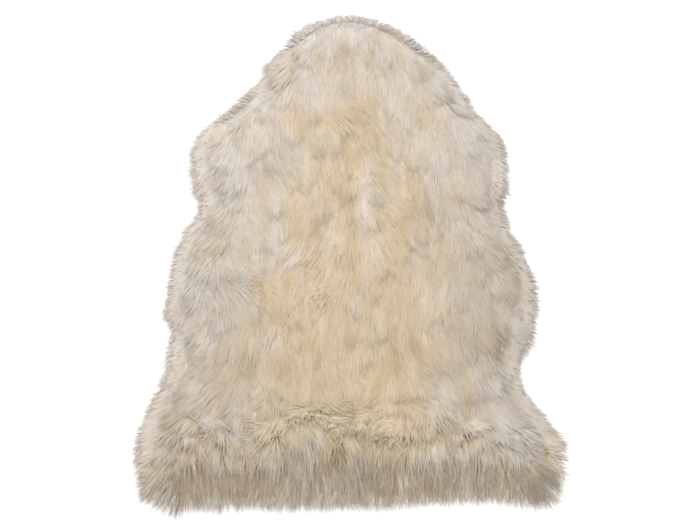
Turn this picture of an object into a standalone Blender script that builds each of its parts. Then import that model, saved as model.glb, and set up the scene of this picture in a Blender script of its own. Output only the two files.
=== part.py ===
"""Sheepskin rug: one tanned pelt lying flat, wool side up.

The pelt is one solid. Its flat underside is the hide, a step below the wool that overhangs it all round.
The pile is a lumpy slab whose edge rolls down to the floor, and two tiers of locks grow from its rim:
the lower ones rest level on the floor and the upper ones hang over them.
Metres, +Z up, +Y towards the neck, the origin on the floor under the middle of the rug.
"""

import math
import random

import bmesh
import bpy
from mathutils import Matrix, Vector, geometry, noise

# The wool line, where the tips of the locks end: how far ahead of the middle each section is,
# and how far the wool reaches to the left and to the right of the backbone there.
SECTIONS = (
    # place, ahead, left, right
    ("nape", 0.442, 0.065, 0.062),
    ("neck", 0.387, 0.116, 0.129),
    ("throat", 0.308, 0.157, 0.181),
    ("shoulder", 0.257, 0.197, 0.204),
    ("front of foreleg", 0.207, 0.242, 0.244),
    ("foreleg", 0.158, 0.256, 0.254),
    ("back of foreleg", 0.110, 0.248, 0.254),
    ("armpit", 0.063, 0.234, 0.247),
    ("ribs", 0.018, 0.257, 0.253),
    ("chest", -0.049, 0.275, 0.280),
    ("belly", -0.114, 0.279, 0.288),
    ("flank", -0.176, 0.271, 0.274),
    ("stifle", -0.236, 0.273, 0.254),
    ("thigh", -0.295, 0.293, 0.277),
    ("hind leg", -0.352, 0.307, 0.307),
    ("hock", -0.407, 0.307, 0.305),
    ("heel", -0.443, 0.288, 0.288),
)
# The two ends of the pelt, which the sections leave open.
NECK_END = ((0.000, 0.4605),)
TAIL_END = ((0.190, -0.4505), (0.000, -0.4590), (-0.240, -0.4605))

# How far the locks stand out from the slab, from the neck to the tail.
FRINGE = (
    # place, ahead, reach
    ("neck", 0.460, 0.015),
    ("sides", 0.000, 0.018),
    ("hind legs", -0.340, 0.021),
    ("tail", -0.430, 0.034),
)

COLUMNS = 176  # locks of the lower tier round the rim, one for each column of the rim's faces
WIDTH_SPREAD = 0.35  # the share of its width by which chance makes a column wider or narrower
SPLINE_STEPS = 12  # points between two named points of the wool line
HEADING_SPAN = 5  # columns to either side over which the locks' headings are evened out

# The rim of the slab, from the edge of the hide's underside round to the top of the pile.
# Inset is measured from the foot of the wool towards the backbone.
HIDE_THICKNESS = 0.0025
RIM = (
    # place, inset, height
    ("edge of hide, below", 0.024, 0.000),
    ("edge of hide, above", 0.023, HIDE_THICKNESS),
    ("foot of wool", 0.000, 0.000),
    ("lower locks end", -0.003, 0.017),
    ("upper locks end", 0.004, 0.031),
    ("shoulder of pile", 0.020, 0.041),
)
FOOT, LOWER = 2, 3  # the rows of RIM from which the lower and the upper locks grow

# The top of the pile.
TOP_PITCH = 0.0145  # between the points of the top
CROWN_RISE = 0.011  # of the middle above the shoulder of the pile
CROWN_RUN = 0.085  # the distance in from the shoulder over which it rises
UNEVEN = 0.0055  # how far chance raises or lowers the wool
UNEVEN_WIDTH, UNEVEN_LENGTH = 0.048, 0.085  # of the tufts that chance raises, across and along the back
SMALLEST_SHARE = 0.55  # of TOP_PITCH, between a point of the top and its boundary

# The folds and tufts that are larger than chance makes them. Each is a soft ridge or trough.
FORMS = (
    # place, x, y, half length, half width, rise, heading in degrees from +X
    ("part above the tail", 0.000, -0.292, 0.190, 0.016, -0.006, 0),
    ("roll above the tail", -0.010, -0.340, 0.210, 0.024, 0.009, 0),
    ("left hip tuft", -0.155, -0.325, 0.050, 0.022, 0.007, 25),
    ("right hip tuft", 0.120, -0.318, 0.055, 0.022, 0.006, -15),
    ("left flank whorl", -0.165, -0.075, 0.060, 0.026, 0.008, 60),
    ("dip beside the whorl", -0.115, -0.090, 0.050, 0.016, -0.006, 70),
    ("left flank hollow", -0.215, -0.150, 0.026, 0.014, -0.006, 15),
    ("right flank tuft", 0.200, -0.110, 0.055, 0.022, 0.006, 120),
    ("right flank hollow", 0.185, -0.190, 0.035, 0.016, -0.007, 130),
    ("right shoulder crease", 0.120, 0.060, 0.080, 0.014, -0.005, 125),
    ("withers tuft", -0.040, 0.090, 0.075, 0.030, 0.006, 85),
    ("middle tuft", 0.030, 0.050, 0.060, 0.022, 0.007, 100),
    ("left shoulder tuft", -0.120, 0.130, 0.070, 0.026, 0.005, 70),
    ("right foreleg crease", 0.205, 0.085, 0.040, 0.012, -0.006, 20),
    ("neck roll", 0.010, 0.330, 0.070, 0.030, 0.004, 90),
)

# A lock is a 4-sided taper in two lengths.
LOCK_JOINTS = (
    # share of the reach, width and depth left there
    (0.55, 0.72, 0.62),
    (1.00, 0.26, 0.20),
)
UPPER_EVERY = 2  # columns from one upper lock to the next
UPPER_REACH = 0.62  # of the lower locks' reach
UPPER_DROOP = 0.30  # how far an upper lock falls, as a share of its reach
REACH_SPREAD = 0.30  # the share of a lock's reach that chance takes off
SWAY = 0.16  # the share of a lock's reach by which chance turns it aside
SEED = 7

WOOL_COLOUR = (0.62, 0.52, 0.39, 1.0)
HIDE_COLOUR = (0.60, 0.46, 0.33, 1.0)


def clear_scene():
    for found in list(bpy.data.objects):
        bpy.data.objects.remove(found)


def wool_line(chance):
    """The closed wool line, clockwise from the neck, as the points that part its uneven columns."""
    right_side = [(right, ahead) for _, ahead, _, right in SECTIONS]
    left_side = [(-left, ahead) for _, ahead, left, _ in reversed(SECTIONS)]
    named = [Vector(p) for p in (*NECK_END, *right_side, *TAIL_END, *left_side)]
    fine = []
    for i, start in enumerate(named):
        before, end, after = (named[(i + k) % len(named)] for k in (-1, 1, 2))
        leaving, arriving = start + (end - before) / 6, end - (after - start) / 6
        fine += geometry.interpolate_bezier(start, leaving, arriving, end, SPLINE_STEPS + 1)[:-1]
    return parted(fine, [1 + chance.uniform(-WIDTH_SPREAD, WIDTH_SPREAD) for _ in range(COLUMNS)])


def parted(loop, widths):
    """The points that part a closed loop into columns of these relative widths."""
    lengths = [(loop[(i + 1) % len(loop)] - p).length for i, p in enumerate(loop)]
    scale = sum(lengths) / sum(widths)
    found, place, along, i = [], 0.0, 0.0, 0
    for width in widths:
        while along + lengths[i] < place:
            along += lengths[i]
            i += 1
        found.append(loop[i].lerp(loop[(i + 1) % len(loop)], (place - along) / lengths[i]))
        place += width * scale
    return found


def outward(loop):
    """The unit direction out of a clockwise loop at each of its points, evened out round corners."""
    found = []
    for i in range(len(loop)):
        along = (loop[(i + HEADING_SPAN) % len(loop)] - loop[i - HEADING_SPAN]).normalized()
        found.append(Vector((-along.y, along.x)))
    return found


def between_rows(rows, ahead):
    """The last column of a table at a place along the backbone, by straight lines between its rows."""
    for (_, front, *_, high), (_, back, *_, low) in zip(rows, rows[1:]):
        if ahead >= back:
            return low + (high - low) * min(1.0, (ahead - back) / (front - back))
    return rows[-1][-1]


def pile_height(x, y, inset):
    """How high the top of the pile is, inset being the distance in from its shoulder."""
    share = min(1.0, inset / CROWN_RUN)
    height = RIM[-1][2] + CROWN_RISE * math.sin(share * math.pi / 2)
    for _, form_x, form_y, half_length, half_width, rise, heading in FORMS:
        turned = Vector((x - form_x, y - form_y))
        turned.rotate(Matrix.Rotation(-math.radians(heading), 2))
        far = (turned.x / half_length) ** 2 + (turned.y / half_width) ** 2
        height += rise * math.exp(-far)
    chance = noise.noise(Vector((x / UNEVEN_WIDTH, y / UNEVEN_LENGTH, 0.0)))
    return height + UNEVEN * 2 * chance * min(1.0, 0.4 + share)


def rim_loops(bm, wool, out):
    """The loops of points from under the hide up to the shoulder of the pile, one for each row of RIM."""
    loops = []
    for _, inset, height in RIM:
        loop = []
        for tip, direction in zip(wool, out):
            place = tip - direction * (between_rows(FRINGE, tip.y) + inset)
            loop.append(bm.verts.new((*place, height)))
        loops.append(loop)
    return loops


def bridge(bm, lower, upper):
    """The band of faces between two loops, one face for each column."""
    count = len(lower)
    return [
        bm.faces.new((lower[i], lower[i - count + 1], upper[i - count + 1], upper[i])) for i in range(count)
    ]


def top_points(boundary):
    """The staggered grid of points within a boundary, each clear of it."""
    xs, ys = [p.x for p in boundary], [p.y for p in boundary]
    rows = math.ceil((max(ys) - min(ys)) / TOP_PITCH)
    across = math.ceil((max(xs) - min(xs)) / TOP_PITCH)
    found = []
    for row in range(rows):
        for column in range(across):
            x = min(xs) + (column + 0.5 * (row % 2)) * TOP_PITCH
            place = Vector((x, min(ys) + row * TOP_PITCH))
            if inside(place, boundary) and depth_in(place, boundary) > SMALLEST_SHARE * TOP_PITCH:
                found.append(place)
    return found


def inside(place, boundary):
    """Whether a line from this place towards +X crosses the boundary an odd number of times."""
    odd = False
    for i, p in enumerate(boundary):
        q = boundary[i - 1]
        if (p.y > place.y) != (q.y > place.y):
            odd ^= place.x < p.x + (q.x - p.x) * (place.y - p.y) / (q.y - p.y)
    return odd


def depth_in(place, boundary):
    """The distance from a place to the nearest side of the boundary."""
    nearest = math.inf
    for i, p in enumerate(boundary):
        q = boundary[i - 1]
        foot, share = geometry.intersect_point_line(place, p, q)
        foot = p.lerp(q, max(0.0, min(1.0, share)))
        nearest = min(nearest, (place - foot.to_2d()).length)
    return nearest


def fill_top(bm, shoulder):
    """The uneven top of the pile, in triangles, within the loop at its shoulder."""
    boundary = [v.co.to_2d() for v in shoulder]
    points = top_points(boundary)
    loop = list(range(len(boundary)))
    laid = geometry.delaunay_2d_cdt(boundary + points, [], [loop], 1, 1e-6)
    placed, triangles, sources = laid[0], laid[2], laid[3]
    verts = []
    for place, source in zip(placed, sources):
        if source[0] < len(shoulder):
            verts.append(shoulder[source[0]])
            continue
        height = pile_height(place.x, place.y, depth_in(place, boundary))
        verts.append(bm.verts.new((*place, height)))
    for corners in triangles:
        bm.faces.new([verts[i] for i in corners])


def grow_lock(bm, face, direction, reach, droop, chance):
    """Draws one face of the rim out into a tapering lock. Without a droop it stays level on the floor."""
    root = face.calc_center_median()
    pivot = root.z if droop else 0.0
    aside = Vector((-direction.y, direction.x)) * reach * chance.uniform(-SWAY, SWAY)
    rest = [(v.co.to_2d() - root.to_2d(), v.co.z - pivot) for v in face.verts]
    for share, width, depth in LOCK_JOINTS:
        face = bmesh.ops.extrude_discrete_faces(bm, faces=[face])["faces"][0]
        middle = root.to_2d() + direction * reach * share + aside * share**2
        for v, (off, height) in zip(face.verts, rest):
            v.co = (*(middle + off * width), pivot - droop * reach * share + height * depth)


def grow_locks(bm, band, out, wool, share, droop, every, chance):
    for i in range(0, len(band), every):
        direction = (out[i] + out[(i + 1) % len(out)]).normalized()
        reach = between_rows(FRINGE, wool[i].y) * share * (1 - chance.uniform(0, REACH_SPREAD))
        grow_lock(bm, band[i], direction, reach, droop, chance)


def centre(bm):
    """Shifts the pelt so that the middle of its box is over the origin."""
    low, high = ([end(v.co[axis] for v in bm.verts) for axis in (0, 1)] for end in (min, max))
    middle = (Vector(low) + Vector(high)) / 2
    bmesh.ops.translate(bm, verts=bm.verts, vec=(-middle.x, -middle.y, 0.0))


def finish_of(name, colour, roughness):
    material = bpy.data.materials.new(name)
    material.use_nodes = True
    shader = material.node_tree.nodes["Principled BSDF"]
    shader.inputs["Base Color"].default_value = colour
    shader.inputs["Roughness"].default_value = roughness
    shader.inputs["Metallic"].default_value = 0.0
    return material


def sheepskin():
    """The pelt: hide, pile and locks as one closed solid."""
    chance = random.Random(SEED)
    bm = bmesh.new()
    wool = wool_line(chance)
    out = outward(wool)
    loops = rim_loops(bm, wool, out)
    flesh_side = bm.faces.new(list(reversed(loops[0])))
    bands = [bridge(bm, below, above) for below, above in zip(loops, loops[1:])]
    fill_top(bm, loops[-1])
    bmesh.ops.recalc_face_normals(bm, faces=bm.faces)
    flesh_side.material_index = 1
    for face in bands[0]:
        face.material_index = 1
    grow_locks(bm, bands[FOOT], out, wool, 1.0, 0.0, 1, chance)
    grow_locks(bm, bands[LOWER], out, wool, UPPER_REACH, UPPER_DROOP, UPPER_EVERY, chance)
    centre(bm)
    mesh = bpy.data.meshes.new("sheepskin")
    bm.to_mesh(mesh)
    bm.free()
    mesh.shade_smooth()
    mesh.materials.append(finish_of("wool", WOOL_COLOUR, 0.85))
    mesh.materials.append(finish_of("hide", HIDE_COLOUR, 0.75))
    pelt = bpy.data.objects.new("sheepskin", mesh)
    bpy.context.scene.collection.objects.link(pelt)
    return pelt


clear_scene()
sheepskin()
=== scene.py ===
"""The sheepskin rug dressed: a tanned pelt with its hide, its undercoat and its long combed wool.

Metres, +Z up, +Y towards the neck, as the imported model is.
"""

import math

import bmesh
import bpy
from mathutils import Matrix, Vector, geometry, kdtree, noise
from mathutils.bvhtree import BVHTree


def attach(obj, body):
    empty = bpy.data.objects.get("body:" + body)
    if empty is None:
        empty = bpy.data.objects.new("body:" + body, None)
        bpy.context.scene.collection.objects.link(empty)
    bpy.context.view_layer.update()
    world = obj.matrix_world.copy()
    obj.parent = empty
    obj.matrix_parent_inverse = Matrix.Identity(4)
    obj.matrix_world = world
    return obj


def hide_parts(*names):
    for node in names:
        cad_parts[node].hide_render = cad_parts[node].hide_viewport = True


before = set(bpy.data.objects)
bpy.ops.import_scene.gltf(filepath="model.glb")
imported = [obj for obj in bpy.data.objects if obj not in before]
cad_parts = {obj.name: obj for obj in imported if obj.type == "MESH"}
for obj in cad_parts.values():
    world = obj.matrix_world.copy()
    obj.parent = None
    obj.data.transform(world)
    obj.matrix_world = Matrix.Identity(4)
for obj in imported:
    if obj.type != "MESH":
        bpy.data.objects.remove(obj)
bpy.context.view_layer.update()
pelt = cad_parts["sheepskin"]


# --------------------------------------------------
# The stage: a plain white floor lit a little from below, under a wide soft light, and a camera
# that looks down at the pelt from beyond its tail. None of it is part of the rug.
# --------------------------------------------------
CAMERA_ELEVATION = math.radians(58)
CAMERA_DISTANCE = 2.10
CAMERA_LENS = 70
CAMERA_AIM = Vector((0.0039, -0.046, 0.020))
FLOOR_SIZE = 60.0
FLOOR_COLOUR = (0.95, 0.95, 0.95, 1.0)
FLOOR_GLOW = 0.80  # keeps the ground white between the strands
SKY_COLOUR = (1.0, 0.99, 0.98, 1.0)
SKY_STRENGTH = 0.70
KEY_SIZE = 2.4
KEY_PLACE = Vector((-0.5, 0.9, 2.3))
KEY_WATTS = 21.5


def add_camera():
    data = bpy.data.cameras.new("camera")
    data.lens = CAMERA_LENS
    camera = bpy.data.objects.new("camera", data)
    back = Vector((0.0, -math.cos(CAMERA_ELEVATION), math.sin(CAMERA_ELEVATION)))
    camera.location = CAMERA_AIM + back * CAMERA_DISTANCE
    camera.rotation_euler = (-back).to_track_quat("-Z", "Y").to_euler()
    bpy.context.scene.collection.objects.link(camera)
    bpy.context.scene.camera = camera


def fill(node, **values):
    """Sets inputs of a node by their names."""
    for name, value in values.items():
        node.inputs[name.replace("_", " ")].default_value = value


def blank(name):
    """A new material, with its nodes, its links and its shader."""
    material = bpy.data.materials.new(name)
    material.use_nodes = True
    nodes = material.node_tree.nodes
    return material, nodes, material.node_tree.links, nodes["Principled BSDF"]


def add_floor():
    mesh = bpy.data.meshes.new("floor")
    bm = bmesh.new()
    bmesh.ops.create_grid(bm, x_segments=1, y_segments=1, size=FLOOR_SIZE / 2)
    bm.to_mesh(mesh)
    bm.free()
    material, *_, shader = blank("floor")
    fill(shader, Base_Color=FLOOR_COLOUR, Roughness=0.9, Specular_IOR_Level=0.1)
    fill(shader, Emission_Color=FLOOR_COLOUR, Emission_Strength=FLOOR_GLOW)
    mesh.materials.append(material)
    floor = bpy.data.objects.new("floor", mesh)
    bpy.context.scene.collection.objects.link(floor)


def add_lights():
    sky = bpy.data.worlds.new("sky")
    sky.use_nodes = True
    fill(sky.node_tree.nodes["Background"], Color=SKY_COLOUR, Strength=SKY_STRENGTH)
    bpy.context.scene.world = sky
    key = bpy.data.lights.new("key", "AREA")
    key.size = KEY_SIZE
    key.energy = KEY_WATTS
    lamp = bpy.data.objects.new("key", key)
    lamp.location = KEY_PLACE
    lamp.rotation_euler = (-KEY_PLACE).to_track_quat("-Z", "Y").to_euler()
    bpy.context.scene.collection.objects.link(lamp)


bpy.context.scene.view_settings.view_transform = "Standard"
add_camera()
add_floor()
add_lights()


# --------------------------------------------------
# The hide: the tanned skin itself, a soft suede sheet 2 mm thick, flesh side down. It is cut to
# the pelt's natural outline and lies flat on the floor, and the wool grows out of its upper side.
# --------------------------------------------------
HIDE_THICKNESS = 0.0021
HIDE_LIFT = 0.0001  # between the floor and the suede
HIDE_TRIM = 0.0004  # by which the cut is inside the solid's
HIDE_EDGE_RADIUS = 0.0006
HIDE_SHARP_ANGLE = math.radians(50)
HIDE_COLOURS = ((0.56, 0.42, 0.29, 1.0), (0.74, 0.61, 0.46, 1.0))  # of its clouds
CLOUD_SCALE, NAP_SCALE, CREASE_SCALE = 9.0, 420.0, 26.0
NAP_DEPTH, CREASE_DEPTH = 0.0006, 0.001
FACING_DOWN, ON_FLOOR = -0.999, 1e-5  # what counts as the flat underside of the solid
SAME_POINT, SAME_HEIGHT = 1e-5, 1e-6


def unfold(vertices, triangles):
    """A bmesh of a node's loose triangles, its doubles merged."""
    bm = bmesh.new()
    verts = [bm.verts.new(v) for v in vertices]
    for corners in triangles:
        bm.faces.new([verts[i] for i in corners])
    bmesh.ops.remove_doubles(bm, verts=bm.verts, dist=SAME_POINT)
    bm.normal_update()
    return bm


def flesh_outline(node):
    """The edge of the flat face on the underside, as a loop of flat points."""
    polygons = [list(p.vertices) for p in node.data.polygons]
    bm = unfold([v.co for v in node.data.vertices], polygons)
    low = [f for f in bm.faces if f.normal.z < FACING_DOWN and f.calc_center_median().z < ON_FLOOR]
    flat = set(low)
    found = {max(low, key=lambda f: f.calc_area())}
    fresh = set(found)
    while fresh:
        beside = {g for f in fresh for e in f.edges for g in e.link_faces}
        fresh = (beside & flat) - found
        found |= fresh
    rim = [e for e in bm.edges if len(found & set(e.link_faces)) == 1]  # in the mesh's own order
    at = {}
    for edge in rim:
        for vert in edge.verts:
            at.setdefault(vert, []).append(edge)
    vert, edge = rim[0].verts[0], rim[0]
    loop = []
    for _ in rim:
        loop.append(vert.co.to_2d())
        vert = edge.other_vert(vert)
        edge = next(e for e in at[vert] if e is not edge)
    bm.free()
    return loop


def signed_area(loop):
    """The area in a loop of flat points, less than nothing if it runs clockwise."""
    return sum(p.cross(loop[i - 1]) for i, p in enumerate(loop)) / -2


def clockwise(loop):
    return loop if signed_area(loop) < 0 else loop[::-1]


def headings(loop, span):
    """The unit direction out of a clockwise loop at each point, evened out over a span of points."""
    found = []
    for i in range(len(loop)):
        along = (loop[(i + span) % len(loop)] - loop[i - span]).normalized()
        found.append(Vector((-along.y, along.x)))
    return found


def finished(name, mesh, material):
    """A piece of the rug, with its one material."""
    mesh.materials.clear()
    mesh.materials.append(material)
    piece = bpy.data.objects.new(name, mesh)
    bpy.context.scene.collection.objects.link(piece)
    return piece


def suede():
    """Tanned flesh side: pale tan, cloudy, with a fine nap and a few soft creases."""
    material, nodes, links, shader = blank("suede")
    fill(shader, Roughness=0.88, Specular_IOR_Level=0.25, Sheen_Weight=0.25)
    place = nodes.new("ShaderNodeTexCoord").outputs["Object"]
    clouds = nodes.new("ShaderNodeTexNoise")
    fill(clouds, Scale=CLOUD_SCALE, Detail=6.0)
    nap = nodes.new("ShaderNodeTexNoise")
    fill(nap, Scale=NAP_SCALE, Detail=4.0)
    creases = nodes.new("ShaderNodeTexVoronoi")
    creases.feature = "DISTANCE_TO_EDGE"
    fill(creases, Scale=CREASE_SCALE)
    for texture in (clouds, nap, creases):
        links.new(place, texture.inputs["Vector"])
    ramp = nodes.new("ShaderNodeValToRGB")
    ramp.color_ramp.elements[0].position = 0.32
    ramp.color_ramp.elements[1].position = 0.68
    for stop, colour in zip(ramp.color_ramp.elements, HIDE_COLOURS):
        stop.color = colour
    links.new(clouds.outputs["Fac"], ramp.inputs["Fac"])
    links.new(ramp.outputs["Color"], shader.inputs["Base Color"])
    fine = nodes.new("ShaderNodeBump")
    fill(fine, Strength=0.5, Distance=NAP_DEPTH)
    links.new(nap.outputs["Fac"], fine.inputs["Height"])
    crease = nodes.new("ShaderNodeBump")
    fill(crease, Strength=0.25, Distance=CREASE_DEPTH)
    links.new(creases.outputs["Distance"], crease.inputs["Height"])
    links.new(fine.outputs["Normal"], crease.inputs["Normal"])
    links.new(crease.outputs["Normal"], shader.inputs["Normal"])
    return material


def cut_hide(outline):
    """The sheet within this outline, its edges rounded, on the floor."""
    bm = bmesh.new()
    inset = [p - out * HIDE_TRIM for p, out in zip(outline, headings(outline, 1))]
    under = bm.faces.new([bm.verts.new((*p, HIDE_LIFT)) for p in inset])
    upper = bmesh.ops.extrude_face_region(bm, geom=[under])["geom"]
    raised = [v for v in upper if isinstance(v, bmesh.types.BMVert)]
    bmesh.ops.translate(bm, verts=raised, vec=(0.0, 0.0, HIDE_THICKNESS))
    edges = [e for e in bm.edges if abs(e.verts[0].co.z - e.verts[1].co.z) < SAME_HEIGHT]
    bmesh.ops.bevel(bm, geom=edges, offset=HIDE_EDGE_RADIUS, segments=2, affect="EDGES")
    bmesh.ops.triangulate(bm, faces=[f for f in bm.faces if len(f.verts) > 4])
    bmesh.ops.recalc_face_normals(bm, faces=bm.faces)
    mesh = bpy.data.meshes.new("hide")
    bm.to_mesh(mesh)
    bm.free()
    mesh.shade_smooth()
    mesh.set_sharp_from_angle(angle=HIDE_SHARP_ANGLE)
    return finished("hide", mesh, suede())


outline = clockwise(flesh_outline(pelt))
hide = cut_hide(outline)
hide_size = [max(p[axis] for p in outline) - min(p[axis] for p in outline) for axis in (0, 1)]
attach(hide, "root")
abs(signed_area(outline))


# --------------------------------------------------
# The undercoat: the short dense wool that grows next to the skin. It follows the form of the pile,
# half a centimetre below its top. The long staples lie on it and hide it but in the partings.
# --------------------------------------------------
UNDERCOAT_RIM = (
    # place, out from the edge of the hide, height
    ("on the hide", -0.010, 0.0028),
    ("over its edge", 0.017, 0.0014),
    ("low on the side", 0.025, 0.0110),
    ("high on the side", 0.023, 0.0220),
    ("turn of the pile", 0.010, 0.0315),
)
UNDERCOAT_DEPTH = 0.005  # below the top of the pile
UNDERCOAT_PITCH = 0.0085
UNDERCOAT_EASING = 5  # rounds of smoothing
UNDERCOAT_COLOURS = ((0.84, 0.74, 0.60, 1.0), (0.92, 0.85, 0.73, 1.0))
BROWN_FROM, BROWN_TO, BROWN = -0.27, -0.31, (0.76, 0.65, 0.52, 1.0)  # a tint over the tail
FLOOR_SHADE_FROM, FLOOR_SHADE_TO, FLOOR_SHADE = 0.014, 0.006, (0.52, 0.50, 0.50, 1.0)  # painted shade there, near the floor, under the hanging wool
FIBRE_SCALE, FIBRE_STRETCH, FIBRE_DEPTH = 500.0, (1.0, 0.2, 1.0), 0.0015
HEADING_SPAN = 5  # points
SAME_PLACE = 1e-6


def drop_on(tree, place):
    """The height of a surface under a flat place, or None beside it."""
    return tree.ray_cast(Vector((*place, 1.0)), Vector((0.0, 0.0, -1.0)))[0]


def inside(place, loop):
    """Whether a flat place is within a loop: a line from it crosses the loop an odd number of times."""
    odd = False
    for i, p in enumerate(loop):
        q = loop[i - 1]
        if (p.y > place.y) != (q.y > place.y):
            odd ^= place.x < p.x + (q.x - p.x) * (place.y - p.y) / (q.y - p.y)
    return odd


def tree_of(points):
    """Finds the nearest of some flat points."""
    tree = kdtree.KDTree(len(points))
    for i, p in enumerate(points):
        tree.insert((*p, 0.0), i)
    tree.balance()
    return tree


def grow_undercoat(outline, node):
    """The closed mesh of the undercoat."""
    form = BVHTree.FromObject(node, bpy.context.evaluated_depsgraph_get())
    out = headings(outline, HEADING_SPAN)
    bm = bmesh.new()
    loops = [
        [bm.verts.new((*(p + o * reach), height)) for p, o in zip(outline, out)]
        for _, reach, height in UNDERCOAT_RIM
    ]
    bm.faces.new(loops[0][::-1])
    count = len(outline)
    for low, high in zip(loops, loops[1:]):
        for i in range(count):
            bm.faces.new((low[i], low[i - count + 1], high[i - count + 1], high[i]))
    shoulder = [v.co.to_2d() for v in loops[-1]]
    near = tree_of(shoulder)
    corner = Vector(map(min, *shoulder))
    size = Vector(map(max, *shoulder)) - corner
    points = []
    for row in range(int(size.y / UNDERCOAT_PITCH)):
        for column in range(int(size.x / UNDERCOAT_PITCH)):
            place = corner + Vector((column + 0.5 * (row % 2), row)) * UNDERCOAT_PITCH
            if near.find((*place, 0.0))[2] > UNDERCOAT_PITCH and inside(place, shoulder):
                points.append(place)
    laid = geometry.delaunay_2d_cdt(shoulder + points, [], [list(range(count))], 1, SAME_PLACE)
    placed, triangles, sources = laid[0], laid[2], laid[3]
    verts = []
    for place, source in zip(placed, sources):
        if source[0] < count:
            verts.append(loops[-1][source[0]])
            continue
        verts.append(bm.verts.new((*place, drop_on(form, place).z - UNDERCOAT_DEPTH)))
    for corners in triangles:
        bm.faces.new([verts[i] for i in corners])
    level = {v for loop in loops for v in loop}
    within = [v for v in bm.verts if v not in level]
    for _ in range(UNDERCOAT_EASING):
        bmesh.ops.smooth_vert(bm, verts=within, factor=0.5, use_axis_z=True)
    bmesh.ops.recalc_face_normals(bm, faces=bm.faces)
    mesh = bpy.data.meshes.new("undercoat")
    bm.to_mesh(mesh)
    bm.free()
    mesh.shade_smooth()
    return mesh


def dense_wool():
    """Ivory wool too short to tell its fibres apart, browner over the tail, with painted shade near the
    floor there.
    """
    material, nodes, links, shader = blank("dense wool")
    fill(shader, Roughness=0.9, Specular_IOR_Level=0.2)
    place = nodes.new("ShaderNodeTexCoord").outputs["Object"]
    combed = nodes.new("ShaderNodeMapping")
    fill(combed, Scale=FIBRE_STRETCH)
    links.new(place, combed.inputs["Vector"])
    fibres = nodes.new("ShaderNodeTexNoise")
    fill(fibres, Scale=FIBRE_SCALE, Detail=5.0)
    links.new(combed.outputs["Vector"], fibres.inputs["Vector"])
    ramp = nodes.new("ShaderNodeValToRGB")
    ramp.color_ramp.elements[0].position = 0.3
    ramp.color_ramp.elements[1].position = 0.7
    for stop, colour in zip(ramp.color_ramp.elements, UNDERCOAT_COLOURS):
        stop.color = colour
    links.new(fibres.outputs["Fac"], ramp.inputs["Fac"])
    apart = nodes.new("ShaderNodeSeparateXYZ")
    links.new(place, apart.inputs["Vector"])
    aft = nodes.new("ShaderNodeMapRange")
    fill(aft, From_Min=BROWN_FROM, From_Max=BROWN_TO)
    links.new(apart.outputs["Y"], aft.inputs["Value"])
    browner = nodes.new("ShaderNodeMix")
    browner.data_type, browner.blend_type = "RGBA", "MULTIPLY"
    links.new(aft.outputs["Result"], browner.inputs["Factor"])
    links.new(ramp.outputs["Color"], browner.inputs["A"])
    # Painted shade: over the tail the undercoat is greyer and darker near the floor.
    low = nodes.new("ShaderNodeMapRange")
    fill(low, From_Min=FLOOR_SHADE_FROM, From_Max=FLOOR_SHADE_TO)
    links.new(apart.outputs["Z"], low.inputs["Value"])
    tint = nodes.new("ShaderNodeMix")
    tint.data_type = "RGBA"
    links.new(low.outputs["Result"], tint.inputs["Factor"])
    fill(tint, A=BROWN, B=FLOOR_SHADE)
    links.new(tint.outputs["Result"], browner.inputs["B"])
    links.new(browner.outputs["Result"], shader.inputs["Base Color"])
    relief = nodes.new("ShaderNodeBump")
    fill(relief, Strength=0.8, Distance=FIBRE_DEPTH)
    links.new(fibres.outputs["Fac"], relief.inputs["Height"])
    links.new(relief.outputs["Normal"], shader.inputs["Normal"])
    return material


undercoat = finished("undercoat", grow_undercoat(outline, pelt), dense_wool())
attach(undercoat, "root")
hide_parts("sheepskin")


# --------------------------------------------------
# The wool: staples 4 to 6 cm long, each a bundle of wisps that draws together to a pointed tip. It
# is combed flat towards the tail, turns outwards over the edge of the hide, stands up in a ruffled
# roll above the tail and hangs from there to the floor. One fleece, made as six pieces.
# --------------------------------------------------
HABITS = (
    # quality, on the back, along the edge, on the skirt over the tail
    ("stand", 9, 10, 16),  # degrees over the skin, at the root
    ("clear", 0.002, 0.003, 0.008),  # of the tip over the skin
    ("staple", 0.052, 0.042, 0.054),  # length
    ("ragged", 0.05, 0.08, 0.35),  # how unlike each other the strands' lengths are
    ("tousle", 0.0, 0.0, 0.22),  # how far, in radians, a wisp may stray from the combing
    ("lift", 0.7, 0.4, 1.0),  # how far a lock may lie over its neighbours
    ("breadth", 1.35, 1.25, 0.60),  # of the strands
    ("gather", 0.10, 0.10, 0.80),  # how far the strands of a wisp draw together
    ("bunch", 0.18, 0.12, 0.30),  # and the wisps of a lock
    ("crimp", 0.0009, 0.0009, 0.0024),  # half the width of a strand's waves
    ("contrast", 0.36, 0.24, 1.90),  # between the tones of neighbouring locks and strands
    ("density", 1.00, 1.05, 1.70),  # also of the strands
    ("light", 0.48, 0.56, 0.54),  # from 0, the darkest tone of the wool, to 1, the lightest, with the painted light and shade added to it
    ("warmth", 0.0, 0.0, 0.36),  # from 0, the greyest, to 1, the most yellow
)
MOTTLES = (
    # quality, its noises (strength, grain across and along, seed), how much weaker on the skirt
    ("warmth", ((0.45, (0.018, 0.07), 5.0), (0.30, (0.05, 0.09), 9.0)), 0.6),
    ("light", ((0.28, (0.014, 0.050), 7.0), (0.16, (0.08, 0.08), 17.0)), 0.4),
)
WARM_WIDTH, WARM_LENGTH, WARM_MIDDLE = 0.20, 0.52, -0.10  # of the yolk-stained middle of the back
WARM_FADE = (0.30, 1.10)  # from its middle outwards
COMB_WANDER = math.radians(20)  # how far the combing strays from the backbone
COMB_SCALE = (0.10, 0.15)
COMB_FAN = math.radians(12)  # and how far it fans out on the flanks
FLANK_AT = 0.25
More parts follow.
